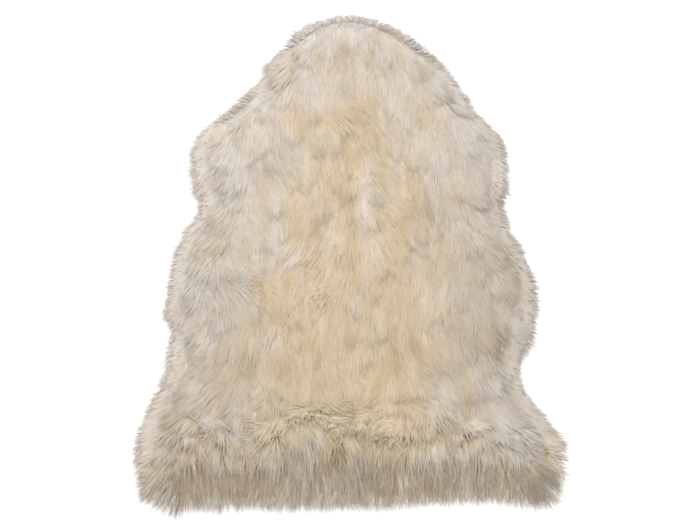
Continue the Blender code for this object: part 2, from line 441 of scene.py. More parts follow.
SLEEK_FROM, SLEEK_TO = 0.06, -0.10  # from the withers back the wool is sleeker
SLEEK_TIMES = (("lift", 0.30), ("contrast", 0.65))
NECK_FROM, NECK_TO, NECK_TIMES = 0.12, 0.20, 1.15  # the staple is longer on the neck

EDGE_WIDTH = 0.045  # of the band in which the wool turns outwards
TURN_AT_EDGE = 0.6  # the share of its turn outwards that the wool makes on top of the edge
TURN_ENDS = (0.2, 0.8)  # as the edge comes to face forwards
NAPE_FACING = (0.60, 0.90)  # where it does, the wool is combed straight back from it
FRINGE_FACING, FRINGE_BAND = (0.50, 0.75), (-0.024, 0.004)
NAPE_SHARE = 0.60  # of the wisps on the nape's own edge, which fall forwards over it as a fringe
RIM_STAND, RIM_FALL = 0.0, math.radians(-45)  # over the level, at the very edge
RIM_WIDTH, RIM_OVERHANG, RIM_PALING = 0.004, 0.030, 0.010
RIM_TIMES = (("breadth", 0.65), ("density", 1.35), ("gather", 0.4), ("bunch", 0.4))
# Painted light: the outermost tips and the fringe over the nape are paler, like thin tips with light
# through them.
RIM_RAGGED, RIM_STAPLE, RIM_PAINTED_LIGHT, FRINGE_PAINTED_LIGHT = 0.45, 0.70, 0.22, 0.30

SKIRT_FROM, SKIRT_TO = -0.006, 0.030  # behind the line of pits
HEM_STAPLES, HEM_FACING = (0.52, 0.40), (0.6, 0.95)  # shorter where the hem faces backwards
HEM_WIDTH, HEM_PAINTED_SHADE, HEM_PAINTED_LIGHT = 0.070, 0.50, 0.75  # painted shade: darker along its hem, where the skirt hangs away from the light; painted light on its tips
SIDE_AT, SIDE_WIDTH, SIDE_LIGHT = 0.14, 0.10, 0.20  # lighter on the right of the tail
FALL_AT, FALL_WIDTH, FALL_PAINTED_LIGHT = 0.022, 0.022, 0.12  # and painted light where it begins to fall, behind the pits, against the shade the ruffle casts

RELAX_ROUNDS = 10
ROOT_STEP, STEEPEST = 0.014, math.radians(-72)
AIM_ROUNDS, STEEPEST_CLIMB = 3, 0.98
LIFT_ROUNDS, LIFT_STEP, LEAST_BEND = 6, math.radians(4), 0.02
SKIN_CLEARANCE = 0.0012
UNDERSIDE = -0.3  # faces that look down more than this grow nothing

# The ruffled roll: wool that stands up in curls, and under it a row of pits that it parts from.
RUFFLE_AHEAD, RUFFLE_HALF_WIDTH, RUFFLE_HALF_DEPTH = 0.012, 0.250, 0.026
RUFFLE_FADE = (0.92, 1.10)  # at its ends, in half widths
RUFFLE_SWIRL, SWIRL_SCALE = math.radians(90), 0.024
# The ruffle's wool is also painted lighter, against the shade among its raised curls.
RUFFLE_ADDS = (("stand", -3), ("clear", 0.005), ("crimp", 0.0012), ("light", 0.30), ("tousle", 0.32))
RUFFLE_TIMES = (("staple", 0.75), ("contrast", 0.75))
RUFFLE_SETS = (("gather", 0.6), ("bunch", 0.4))
RUFFLE_WARMTH, WARMER_MIDDLE, MIDDLE_WIDTH = 0.10, 0.30, 0.15
PIT_RADIUS, PARTING_RADIUS = 0.0110, 0.015
PARTING_SHARE, PARTING_LEAST, PARTING_STAND = 0.55, 0.02, 10
# Painted shade: the wool in each pit is darker, and browner.
PIT_PAINTED_SHADE = (("light", -0.10), ("warmth", 0.90))
PIT_TIMES = (("contrast", 0.5), ("density", 0.4))
PITS = (
    (-0.305, -0.430), (-0.262, -0.378), (-0.222, -0.352), (-0.198, -0.337), (-0.176, -0.348),
    (-0.136, -0.356), (-0.104, -0.343), (-0.076, -0.321), (-0.055, -0.309), (-0.020, -0.338),
    (0.014, -0.329), (0.050, -0.347), (0.086, -0.346), (0.122, -0.333), (0.165, -0.341),
    (0.205, -0.350), (0.270, -0.366),
)
# Partings off that line:
GAPS = ((-0.098, -0.294), (-0.034, -0.299), (0.045, -0.312), (0.079, -0.300), (-0.018, -0.363))

TUFTS = (
    # place, x, y, radius, turn of the combing and lift of the strands in degrees, length
    ("combing of the left shoulder", -0.140, 0.130, 0.110, 26, 0, 1.00),
    ("combing of the right ribs", 0.120, 0.050, 0.070, 16, 0, 1.00),
    ("fork behind the withers", 0.078, 0.070, 0.030, 25, 8, 1.00),
    ("curls on the left ribs", -0.145, -0.095, 0.024, 80, 26, 0.62),
    ("curls on the back", -0.030, -0.115, 0.022, -60, 22, 0.65),
    ("curl on the neck", -0.005, 0.240, 0.020, 60, 18, 0.70),
    ("whorl on the left flank", -0.190, -0.085, 0.042, 62, 8, 1.00),
    ("part on the left flank", -0.238, -0.165, 0.020, 70, 22, 0.75),
    ("part on the right flank", 0.220, -0.165, 0.028, 35, 12, 1.00),
    ("part behind the right foreleg", 0.215, 0.085, 0.024, -45, 18, 0.80),
    ("right waist", 0.265, -0.235, 0.035, 0, 0, 0.80),
    ("right corner of the tail", 0.300, -0.345, 0.045, 0, 0, 1.25),
    ("left corner of the tail", -0.280, -0.380, 0.055, 0, 0, 1.15),
    ("lower right corner of the tail", 0.270, -0.430, 0.040, 0, 0, 1.25),
)
CURL_BELOW, CURL_CRIMP = 0.8, 0.0012  # a tuft shorter than this share of the staple curls
LOBES = (
    # place, x, y, half width, half length, warmer, lighter; the pale locks are lighter partly in tone
    # and partly by painted light, and the shadow, hollows, armpit and sides darker by painted shade
    ("withers", 0.022, 0.065, 0.013, 0.050, -0.45, 0.20),
    ("left of the withers", -0.017, 0.000, 0.013, 0.032, -0.50, 0.30),
    ("left ribs", -0.113, 0.022, 0.030, 0.042, -0.40, 0.12),
    ("left ribs, low", -0.074, -0.030, 0.016, 0.026, -0.35, 0.16),
    ("left shoulder", -0.170, 0.047, 0.016, 0.034, 0.15, 0.14),
    ("left of the neck", -0.063, 0.300, 0.022, 0.040, -0.35, 0.08),
    ("left of the neck, low", -0.092, 0.165, 0.024, 0.045, -0.45, 0.06),
    ("right of the neck", 0.055, 0.300, 0.030, 0.045, -0.20, 0.16),
    ("right shoulder", 0.110, 0.185, 0.034, 0.050, 0.20, 0.10),
    ("shadow right of the withers", 0.115, 0.055, 0.022, 0.030, -0.20, -0.30),
    ("back, right", 0.031, -0.048, 0.014, 0.034, -0.20, 0.16),
    ("right ribs", 0.130, -0.090, 0.020, 0.030, -0.10, 0.14),
    ("yolk on the left ribs", -0.145, -0.095, 0.028, 0.024, 0.55, 0.04),
    ("yolk on the back", -0.030, -0.118, 0.024, 0.024, 0.50, 0.02),
    ("yolk on the neck", -0.010, 0.205, 0.030, 0.050, 0.35, -0.04),
    ("yolk on the loin", 0.000, -0.200, 0.080, 0.060, 0.30, 0.00),
    ("whorl on the left flank", -0.200, -0.080, 0.030, 0.040, -0.30, 0.10),
    # Painted shade in the hollows of the flanks and in the armpit, with a lighter lock over one hollow:
    ("hollow in the right flank", 0.206, -0.185, 0.010, 0.020, 0.05, -0.50),
    ("hollow higher in the right flank", 0.235, -0.115, 0.012, 0.014, 0.00, -0.35),
    ("lock over the hollow", 0.232, -0.150, 0.008, 0.022, 0.00, 0.25),
    ("hollow in the left flank", -0.240, -0.165, 0.012, 0.016, 0.05, -0.25),
    ("right armpit", 0.232, 0.070, 0.016, 0.014, 0.20, -0.25),
    # Painted shade on the flanks, the loins and the left hip, where the sides turn from the light:
    ("right flank", 0.225, -0.060, 0.060, 0.180, 0.00, -0.14),
    ("right loin", 0.155, -0.170, 0.055, 0.130, 0.06, -0.26),
    ("nape", 0.000, 0.300, 0.120, 0.090, 0.25, 0.02),
    ("left hip", -0.225, -0.300, 0.055, 0.060, 0.10, -0.32),
    ("left flank", -0.215, -0.080, 0.060, 0.120, 0.00, -0.06),
    ("left loin", -0.160, -0.220, 0.045, 0.090, 0.10, -0.24),
)


def smooth_step(low, high, value):
    share = min(1.0, max(0.0, (value - low) / (high - low)))
    return share * share * (3 - 2 * share)


def blend(low, high, share):
    return low + (high - low) * share


def bump(across, along=0.0):
    """One in the middle, falling softly to nothing."""
    return math.exp(-(across**2) - along**2)


def change(habit, share, adds=(), times=(), sets=()):
    """Changes some qualities of the wool, by a share of what is given."""
    for quality, amount in adds:
        habit[quality] += amount * share
    for quality, amount in times:
        habit[quality] *= blend(1, amount, share)
    for quality, amount in sets:
        habit[quality] = blend(habit[quality], amount, share)


def noise_at(place, scale, seed):
    return noise.noise(Vector((place.x / scale[0], place.y / scale[1], seed)))


def pit_line(x):
    """How far back the line through the pits is at a place across the tail."""
    ahead = [pit for pit in PITS if pit[0] <= x][-1:] or PITS[:1]
    after = [pit for pit in PITS if pit[0] > x][:1] or PITS[-1:]
    (x0, y0), (x1, y1) = ahead[0], after[0]
    return blend(y0, y1, smooth_step(x0, x1, x)) if x1 > x0 else y0


def habit_of(place, depth, out):
    """How the wool grows at a place, by its depth in from the edge of the hide and the way out there."""
    nape = smooth_step(*NAPE_FACING, out.y)
    edge = 1 - smooth_step(0.0, EDGE_WIDTH, depth)
    outermost = 1 - smooth_step(-RIM_OVERHANG, 0.0, depth)
    behind = pit_line(place.x) - place.y
    skirt = smooth_step(SKIRT_FROM, SKIRT_TO, behind)
    habit = {name: blend(blend(back, rim, edge), tail, skirt) for name, back, rim, tail in HABITS}
    yolk = math.hypot(place.x / WARM_WIDTH, (place.y - WARM_MIDDLE) / WARM_LENGTH)
    habit["warmth"] += (1 - smooth_step(*WARM_FADE, yolk)) * (1 - skirt)
    for quality, noises, weaker in MOTTLES:
        mottle = sum(strength * noise_at(place, grain, seed) for strength, grain, seed in noises)
        habit[quality] += mottle * (1 - weaker * skirt)
    # Painted shade along the skirt's hem, where it hangs away from the light.
    habit["light"] -= HEM_PAINTED_SHADE * skirt * (1 - smooth_step(0.0, HEM_WIDTH, depth))
    habit["light"] += SIDE_LIGHT * skirt * bump((place.x - SIDE_AT) / SIDE_WIDTH)
    # Painted light where the skirt begins to fall, behind the pits, against the shade the ruffle casts.
    habit["light"] += FALL_PAINTED_LIGHT * skirt * bump((behind - FALL_AT) / FALL_WIDTH)
    turn = COMB_WANDER * 2 * noise_at(place, COMB_SCALE, 0.0)
    turn += COMB_FAN * place.x / FLANK_AT * (1 - edge)
    for _, x, y, radius, turned_by, lift, length in TUFTS:
        share = bump((place.x - x) / radius, (place.y - y) / radius)
        turn += math.radians(turned_by) * share
        habit["stand"] += lift * share
        habit["staple"] *= blend(1, length, share)
        if length < CURL_BELOW:
            habit["crimp"] += CURL_CRIMP * share
    # The lobes: tone, painted light on pale locks, and painted shade in hollows and on the sides.
    for _, x, y, half_width, half_length, warmer, lighter in LOBES:
        share = bump((place.x - x) / half_width, (place.y - y) / half_length)
        habit["warmth"] += warmer * share
        habit["light"] += lighter * share

    # The combing turns round to the way out as the edge comes near, but not at the nape's edge.
    turning = edge * TURN_AT_EDGE * (1 - smooth_step(*TURN_ENDS, out.y))
    outward = blend(turning, 1, max(outermost, skirt)) if edge > 0 else 0.0
    heading = blend(turn, math.atan2(out.x, -out.y), outward)
    habit["nap"] = Vector((math.sin(heading), -math.cos(heading))).lerp(Vector((0.0, -1.0)), nape)
    habit["out"] = out.to_3d()
    habit["forwards"] = NAPE_SHARE * smooth_step(*FRINGE_FACING, out.y)
    habit["forwards"] *= 1 - smooth_step(*FRINGE_BAND, depth)
    change(habit, smooth_step(SLEEK_FROM, SLEEK_TO, place.y) * (1 - skirt), times=SLEEK_TIMES)

    # At the very edge it no longer lies on the skin but stands out over the floor, short and fine.
    habit["rim"] = 1 - smooth_step(-RIM_OVERHANG, RIM_WIDTH, depth)
    habit["nape"] = nape
    hem = blend(*HEM_STAPLES, smooth_step(*HEM_FACING, -out.y))
    habit["staple"] *= blend(1, blend(RIM_STAPLE, hem, skirt), outermost)
    habit["staple"] *= blend(1, NECK_TIMES, smooth_step(NECK_FROM, NECK_TO, place.y))
    change(habit, outermost, adds=(("ragged", RIM_RAGGED),), times=RIM_TIMES)
    # Painted light: the outermost tips, the hem's tips and the fringe are paler, and the outermost
    # greyer, like thin tips with light through them.
    paling = 1 - smooth_step(-RIM_OVERHANG, RIM_PALING, depth)
    pale = blend(RIM_PAINTED_LIGHT * paling, HEM_PAINTED_LIGHT * outermost, skirt)
    habit["light"] += pale + FRINGE_PAINTED_LIGHT * habit["forwards"]
    habit["warmth"] *= 1 - outermost
    return habit


def ruffle_up(habit, place):
    """Stands the wool up in curls along the ruffle, with painted light on them, and parts it at each
    pit, with painted shade there.
    """
    ruffle = bump((place.y - pit_line(place.x) - RUFFLE_AHEAD) / RUFFLE_HALF_DEPTH)
    ruffle *= 1 - smooth_step(*RUFFLE_FADE, abs(place.x) / RUFFLE_HALF_WIDTH)
    swirl = RUFFLE_SWIRL * ruffle * noise_at(place, (SWIRL_SCALE,) * 2, 30.0)
    habit["nap"].rotate(Matrix.Rotation(swirl, 2))
    # among these changes, painted light on the curls
    change(habit, ruffle, RUFFLE_ADDS, RUFFLE_TIMES, RUFFLE_SETS)
    habit["warmth"] += RUFFLE_WARMTH * ruffle + WARMER_MIDDLE * ruffle * bump(place.x / MIDDLE_WIDTH)
    for pit in PITS + GAPS:
        away = place - Vector(pit)
        share = PARTING_SHARE * bump(away.length / PARTING_RADIUS)
        if share < PARTING_LEAST or away.length < SAME_POINT:
            continue
        habit["nap"] = habit["nap"].lerp(away.normalized(), share)
        habit["stand"] += PARTING_STAND * share
        # painted shade in the pit, and fewer strands there
        change(habit, bump(away.length / PIT_RADIUS), PIT_PAINTED_SHADE, PIT_TIMES)


def relax(mesh, habits):
    """Evens out the nap from point to point, so that it never parts but at a pit."""
    ends = [tuple(edge.vertices) for edge in mesh.edges]
    for _ in range(RELAX_ROUNDS):
        total = [habit["nap"].copy() for habit in habits]
        for a, b in ends:
            total[a] += habits[b]["nap"]
            total[b] += habits[a]["nap"]
        for habit, nap in zip(habits, total):
            habit["nap"] = nap.normalized()


def lay_down(habit, root, form):
    """Bends the wool so that it lies on the skin: gives it its angles at the root and at the tip."""

    def height_at(distance):
        found = drop_on(form, (root + habit["nap"] * distance).to_2d())
        return found.z if found else 0.0

    def clearance(stand, fall):
        """How far a strand of these angles keeps off the skin, half way along it."""
        lean, bend = (stand + fall) / 2, stand - fall
        forward = (math.sin(stand) - math.sin(lean)) / bend
        rise = (math.cos(lean) - math.cos(stand)) / bend
        return root.z + rise * habit["staple"] - height_at(forward * habit["staple"])

    slope = math.atan2(height_at(ROOT_STEP) - root.z, ROOT_STEP)
    stand = max(STEEPEST, slope) + math.radians(habit["stand"])
    staple, mean = habit["staple"], 0.0
    for _ in range(AIM_ROUNDS):
        climb = (height_at(staple * math.cos(mean)) + habit["clear"] - root.z) / staple
        mean = math.asin(max(-STEEPEST_CLIMB, min(STEEPEST_CLIMB, climb)))
    for _ in range(LIFT_ROUNDS):
        fall = max(STEEPEST, 2 * mean - stand)
        if abs(fall - stand) < LEAST_BEND:
            fall = stand - LEAST_BEND
        if clearance(stand, fall) > SKIN_CLEARANCE:
            break
        stand += LIFT_STEP
    rim = habit["rim"] * (1 - habit["nape"])
    habit["stand"] = blend(stand, RIM_STAND, rim)
    habit["fall"] = blend(fall, RIM_FALL, rim)


def growing_skin(undercoat, outline):
    """The undercoat's upper side and flanks, with the habit of the wool on its points."""
    bm = bmesh.new()
    bm.from_mesh(undercoat.data)
    bmesh.ops.delete(bm, geom=[f for f in bm.faces if f.normal.z < UNDERSIDE], context="FACES")
    bmesh.ops.subdivide_edges(bm, edges=bm.edges, cuts=1, use_grid_fill=True)
    mesh = bpy.data.meshes.new("growing skin")
    bm.to_mesh(mesh)
    bm.free()
    edge = tree_of(outline)
    out = headings(outline, HEADING_SPAN)
    habits = []
    for vert in mesh.vertices:
        place = vert.co.to_2d()
        _, nearest, depth = edge.find((*place, 0.0))
        depth *= 1 if inside(place, outline) else -1
        habits.append(habit_of(place, depth, out[nearest]))
    relax(mesh, habits)
    form = BVHTree.FromPolygons([v.co for v in mesh.vertices], [p.vertices for p in mesh.polygons])
    for vert, habit in zip(mesh.vertices, habits):
        ruffle_up(habit, vert.co.to_2d())
        habit["nap"] = habit["nap"].normalized().to_3d()
        lay_down(habit, vert.co, form)
    for name, value in habits[0].items():
        kind, key = ("FLOAT_VECTOR", "vector") if isinstance(value, Vector) else ("FLOAT", "value")
        layer = mesh.attributes.new(name, kind, "POINT")
        for item, habit in zip(layer.data, habits):
            setattr(item, key, habit[name])
    return mesh


FLEECE = (
    # piece, its back and its front, side of the backbone (0 is both), lengths in a strand
    ("wool_neck", 0.205, 9.0, 0, 2),
    ("wool_shoulders", 0.020, 0.205, 0, 2),
    ("wool_left_flank", -0.270, 0.020, -1, 2),
    ("wool_right_flank", -0.270, 0.020, 1, 2),
    ("wool_rump", -0.340, -0.270, 0, 3),
    ("wool_tail", -9.0, -0.340, 0, 2),
)
LOCK_SPACING, WISP_SPACING = 0.018, 0.0055
THICKEST = 90000.0  # locks or wisps to a square metre, before those too close to another go
STRANDS_PER_SQUARE_METRE = 308000.0
STRAND_WIDTH, STRAND_FLATNESS, STRAND_SIDES = 0.0016, 0.25, 3
# What chance gives each lock, wisp and strand of its own: what, least, most, seed.
LOCK_WHIMS = (
    ("sway", -0.12, 0.12, 2),
    ("length", 0.88, 1.10, 3),
    ("lift", -0.03, 0.04, 4),
    ("tone", -1.0, 1.0, 5),
    ("hue", -1.0, 1.0, 20),
)
WISP_WHIMS = (("sway", -0.03, 0.03, 7), ("tone", -1.0, 1.0, 8), ("stray", -1.0, 1.0, 21))
STRAND_WHIMS = (("dither", 0.0, 1.0, 14), ("phase", 0.0, 6.283, 15), ("thickness", 0.7, 1.15, 16))
MINGLING = 0.3  # of the spacing of the locks, by which their strands mingle
STRAND_STRAY, STRAND_SWAY, STRAND_STAND = 0.4, 0.06, 0.025
STRAND_LENGTHS, RAGGED_LENGTHS = (0.75, 1.05), (-1.2, 0.5)
FRINGE_PULL, FRINGE_CHANCE = 0.06, (0.07, 0.93)
LOCK_TONE, WISP_TONE, STRAND_TONE = 0.40, 0.40, 0.25
LOCK_HUE = 0.16  # by which the warmth of a lock differs from its neighbours'
WAVES = 9.0  # radians of crimp along a strand
WISP_CLOSING = 2.2  # a wisp is drawn together before half way
FLOOR_GAP, FLOOR_EASE = 0.0012, 0.004  # over the floor, to which strands come down softly
LIT_LEAN, LIT_ROUND = 0.35, 0.2  # how far the lit side leans, and how round a strand looks
WARMTHS, LIGHTS = 8, 12  # steps of warmth, and of lightness, that a strand may take
MAP_BREADTH, MAP_LENGTH, MAP_DEPTH, MAP_START = 0.4, 0.94, 0.02, 0.03  # of a strand on its map


class Field:
    """A value in a node tree. Arithmetic on it adds the nodes that work it out."""

    def __init__(self, tree, socket):
        self.tree, self.socket = tree, socket

    def is_vector(self):
        return self.socket.type in ("VECTOR", "RGBA")

    def maths(self, operation, *others):
        node = self.tree.nodes.new("ShaderNodeMath")
        node.operation = operation
        return wired(self.tree, node, self, *others)

    def vector(self, operation, *others, output="Vector"):
        node = self.tree.nodes.new("ShaderNodeVectorMath")
        node.operation = operation
        return wired(self.tree, node, self, *others, output=output)

    def either(self, operation, other):
        if self.is_vector():
            return self.vector(operation, other)
        return self.maths(operation, other)

    def __add__(self, other):
        return self.either("ADD", other)

    def __sub__(self, other):
        return self.either("SUBTRACT", other)

    def __rsub__(self, other):
        return self * -1 + other

    def __mul__(self, other):
        plain = not (isinstance(other, Field) and other.is_vector())
        if self.is_vector() and plain:
            node = self.tree.nodes.new("ShaderNodeVectorMath")
            node.operation = "SCALE"
            plug(self.tree, self, node.inputs[0])
            plug(self.tree, other, node.inputs["Scale"])
            return Field(self.tree, node.outputs["Vector"])
        if not self.is_vector() and not plain:
            return other * self
        return self.either("MULTIPLY", other)

    def __truediv__(self, other):
        return self.maths("DIVIDE", other)

    __radd__ = __add__
    __rmul__ = __mul__


def plug(tree, value, socket):
    if isinstance(value, Field):
        tree.links.new(value.socket, socket)
    else:
        socket.default_value = value


def wired(tree, node, *values, output=0):
    """The node with these values in its first sockets, as the field of one of its outputs."""
    for socket, value in zip(node.inputs, values):
        plug(tree, value, socket)
    return Field(tree, node.outputs[output])


def made(tree, kind, output=0, settings=(), **values):
    """A new node with its settings made and its named sockets filled, as the field of an output."""
    node = tree.nodes.new(kind)
    for name, setting in dict(settings).items():
        setattr(node, name, setting)
    for name, value in values.items():
        plug(tree, value, node.inputs[name.replace("_", " ")])
    return Field(tree, node.outputs[output])


def parts_of(vector):
    node = vector.tree.nodes.new("ShaderNodeSeparateXYZ")
    plug(vector.tree, vector, node.inputs[0])
    return [Field(vector.tree, socket) for socket in node.outputs]


def joined(tree, x, y, z):
    return wired(tree, tree.nodes.new("ShaderNodeCombineXYZ"), x, y, z)


def mixed(low, high, share):
    return (high - low) * share + low


def named(tree, name, kind="FLOAT"):
    return made(tree, "GeometryNodeInputNamedAttribute", settings={"data_type": kind}, Name=name)


def kept(shape, name, value, kind="FLOAT", domain="POINT"):
    """The geometry with a value stored on it under a name."""
    node = shape.tree.nodes.new("GeometryNodeStoreNamedAttribute")
    node.data_type, node.domain = kind, domain
    plug(shape.tree, shape, node.inputs["Geometry"])
    plug(shape.tree, name, node.inputs["Name"])
    plug(shape.tree, value, node.inputs["Value"])
    return Field(shape.tree, node.outputs["Geometry"])


def chance(tree, seed, low=0.0, high=1.0):
    """A number that chance gives each point."""
    node = tree.nodes.new("FunctionNodeRandomValue")
    node.data_type = "FLOAT"
    numbers = [s for s in node.inputs if s.type == "VALUE" and s.enabled]
    numbers[0].default_value, numbers[1].default_value = low, high
    node.inputs["Seed"].default_value = seed
    return Field(tree, next(s for s in node.outputs if s.enabled))


def varied(points, whims):
    """The points, with what chance gives to each."""
    for name, low, high, seed in whims:
        points = kept(points, name, chance(points.tree, seed, low, high))
    return points


def spread(tree, skin, spacing, seed):
    """Points over the skin, no two closer than the spacing."""
    settings = {"distribute_method": "POISSON"}
    found = {"Mesh": skin, "Distance_Min": spacing, "Density_Max": THICKEST, "Seed": seed}
    return made(tree, "GeometryNodeDistributePointsOnFaces", settings=settings, **found)


def of_one(tree, points, index, name, kind="FLOAT"):
    """What one of these points holds under a name, or its position."""
    value = made(tree, "GeometryNodeInputPosition") if name == "position" else named(tree, name, kind)
    node = tree.nodes.new("GeometryNodeSampleIndex")
    node.data_type = kind
    plug(tree, points, node.inputs["Geometry"])
    plug(tree, value, node.inputs["Value"])
    plug(tree, index, node.inputs["Index"])
    return Field(tree, node.outputs[0])


def turned(vector, angle):
    """A level vector turned about the upright."""
    x, y, _ = parts_of(vector)
    c, s = angle.maths("COSINE"), angle.maths("SINE")
    return joined(vector.tree, x * c - y * s, x * s + y * c, 0.0)


def staples_tree():
    """Grows strands on a skin that carries the wool's habit, bundled in wisps, and these in locks."""
    tree = bpy.data.node_groups.new("staples", "GeometryNodeTree")
    sockets = {
        "Skin": "NodeSocketGeometry",
        "Zone": "NodeSocketInt",
        "Lock Spacing": "NodeSocketFloat",
        "Wisp Spacing": "NodeSocketFloat",
        "Strands": "NodeSocketFloat",
        "Strand Width": "NodeSocketFloat",
        "Lengths": "NodeSocketInt",
        "Wool": "NodeSocketMaterial",
    }
    for name, kind in sockets.items():
        tree.interface.new_socket(name, in_out="INPUT", socket_type=kind)
    tree.interface.new_socket("Fleece", in_out="OUTPUT", socket_type="NodeSocketGeometry")
    source = tree.nodes.new("NodeGroupInput")
    given = {name: Field(tree, source.outputs[name]) for name in sockets}

    # Each lock and each wisp strays a little from the habit of the wool round it.
    locks = varied(spread(tree, given["Skin"], given["Lock Spacing"], 1), LOCK_WHIMS)
    wisps = varied(spread(tree, given["Skin"], given["Wisp Spacing"], 6), WISP_WHIMS)

    # The roots of the strands. Where two locks meet, their strands mingle.
    here = tree.nodes.new("FunctionNodeCompare")
    here.data_type, here.operation = "INT", "EQUAL"
    whole = [s for s in here.inputs if s.type == "INT" and s.enabled]
    plug(tree, named(tree, "zone", "INT"), whole[0])
    plug(tree, given["Zone"], whole[1])
    settings = {"distribute_method": "RANDOM"}
    found = {"Mesh": given["Skin"], "Selection": Field(tree, here.outputs[0]), "Seed": 9}
    found["Density"] = given["Strands"] * named(tree, "density")
    roots = made(tree, "GeometryNodeDistributePointsOnFaces", settings=settings, **found)
    root = made(tree, "GeometryNodeInputPosition")
    roots = kept(roots, "root", root, "FLOAT_VECTOR")
    aside = joined(tree, chance(tree, 10, -1.0, 1.0), chance(tree, 11, -1.0, 1.0), 0.0)
    near = root + aside * (given["Lock Spacing"] * MINGLING)
    lock = made(tree, "GeometryNodeSampleNearest", Geometry=locks, Sample_Position=near)
    wisp = made(tree, "GeometryNodeSampleNearest", Geometry=wisps)
    sway = of_one(tree, locks, lock, "sway") + of_one(tree, wisps, wisp, "sway")
    ragged = named(tree, "ragged")
    stray = of_one(tree, wisps, wisp, "stray") + chance(tree, 22, -STRAND_STRAY, STRAND_STRAY)
    sway = sway * (ragged + 1.0) + chance(tree, 12, -STRAND_SWAY, STRAND_SWAY)
    sway = sway + stray * named(tree, "tousle")
    pull = of_one(tree, wisps, wisp, "stray") * FRINGE_PULL + chance(tree, 23, *FRINGE_CHANCE)
    forwards = pull.maths("LESS_THAN", named(tree, "forwards"))
    out, nap = named(tree, "out", "FLOAT_VECTOR"), named(tree, "nap", "FLOAT_VECTOR")
    nap = turned(mixed(nap, out, forwards), sway)
    stand = mixed(named(tree, "stand"), RIM_STAND, forwards)
    roots = kept(roots, "fall", mixed(named(tree, "fall"), RIM_FALL, forwards))
    tone = of_one(tree, locks, lock, "tone") * LOCK_TONE + of_one(tree, wisps, wisp, "tone") * WISP_TONE
    roots = kept(roots, "tone", tone + chance(tree, 13, -STRAND_TONE, STRAND_TONE))
    hue = of_one(tree, locks, lock, "hue") * LOCK_HUE
    roots = kept(roots, "warmth", named(tree, "warmth") + hue)
    roots = varied(roots, STRAND_WHIMS)
    stand = stand + of_one(tree, locks, lock, "lift") * named(tree, "lift")
    roots = kept(roots, "stand", stand + chance(tree, 17, -STRAND_STAND, STRAND_STAND))
    staple = named(tree, "staple") * of_one(tree, locks, lock, "length")
    staple = staple * chance(tree, 18, *STRAND_LENGTHS)
    roots = kept(roots, "staple", staple * (ragged * chance(tree, 19, *RAGGED_LENGTHS) + 1.0))
    roots = kept(roots, "lock", of_one(tree, locks, lock, "position", "FLOAT_VECTOR"), "FLOAT_VECTOR")
    roots = kept(roots, "wisp", of_one(tree, wisps, wisp, "position", "FLOAT_VECTOR"), "FLOAT_VECTOR")
    roots = kept(roots, "nap", nap, "FLOAT_VECTOR")

    # A strand is a slender spindle, which remembers how far along and off its middle each point is.
    size = {"Segments": STRAND_SIDES, "Rings": given["Lengths"], "Radius": 1.0}
    spindle = made(tree, "GeometryNodeMeshUVSphere", **size)
    spindle = kept(spindle, "off", made(tree, "GeometryNodeInputPosition"), "FLOAT_VECTOR")
    placed = made(tree, "GeometryNodeInstanceOnPoints", Points=roots, Instance=spindle)
    strands = made(tree, "GeometryNodeRealizeInstances", Geometry=placed)

    # It rises from the skin at its stand, bends over to its fall, and waves a little on the way.
    across, deep, along = parts_of(named(tree, "off", "FLOAT_VECTOR"))
    along = along * 0.5 + 0.5
    nap = named(tree, "nap", "FLOAT_VECTOR")
    stand, fall, staple = (named(tree, name) for name in ("stand", "fall", "staple"))
    lean = mixed(stand, fall, along)
    bend = stand - fall
    forward = (stand.maths("SINE") - lean.maths("SINE")) / bend
    rise = (lean.maths("COSINE") - stand.maths("COSINE")) / bend
    side = joined(tree, 0.0, 0.0, 1.0).vector("CROSS_PRODUCT", nap)
    wave = (along * WAVES + named(tree, "phase")).maths("SINE") * along * named(tree, "crimp")
    root, lock, wisp = (named(tree, name, "FLOAT_VECTOR") for name in ("root", "lock", "wisp"))
    gather = named(tree, "gather")
    to_wisp = (along * WISP_CLOSING).maths("MINIMUM", 1.0) * gather
    to_lock = along * along * named(tree, "bunch")
    middle = root + (wisp - root) * to_wisp + (lock - wisp) * to_lock
    middle = middle + (nap * forward + joined(tree, 0.0, 0.0, rise)) * staple + side * wave
    radius = given["Strand Width"] * 0.5 * named(tree, "thickness") * named(tree, "breadth")
    square = joined(tree, 0.0, 0.0, lean.maths("COSINE")) - nap * lean.maths("SINE")
    place = middle + side * (across * radius) + square * (deep * radius * STRAND_FLATNESS)
    x, y, z = parts_of(place)
    z = z.maths("SMOOTH_MAX", FLOOR_GAP, FLOOR_EASE)
    set_place = tree.nodes.new("GeometryNodeSetPosition")
    plug(tree, strands, set_place.inputs["Geometry"])
    plug(tree, joined(tree, x, y, z), set_place.inputs["Position"])
    strands = Field(tree, set_place.outputs[0])

    # A wisp is lit as one rounded thing, so a strand's faces look the way its wisp does.
    off = (root - wisp).vector("DOT_PRODUCT", side, output="Value") / given["Wisp Spacing"]
    facing = tree.nodes.new("GeometryNodeSetMeshNormal")
    facing.mode, facing.domain = "FREE", "POINT"
    plug(tree, strands, facing.inputs["Mesh"])
    seen = lean.maths("MINIMUM", LIT_LEAN)
    upper = joined(tree, 0.0, 0.0, seen.maths("COSINE")) - nap * seen.maths("SINE")
    plug(tree, upper + side * (across * LIT_ROUND + off * gather), facing.inputs["Custom Normal"])
    strands = Field(tree, facing.outputs[0])

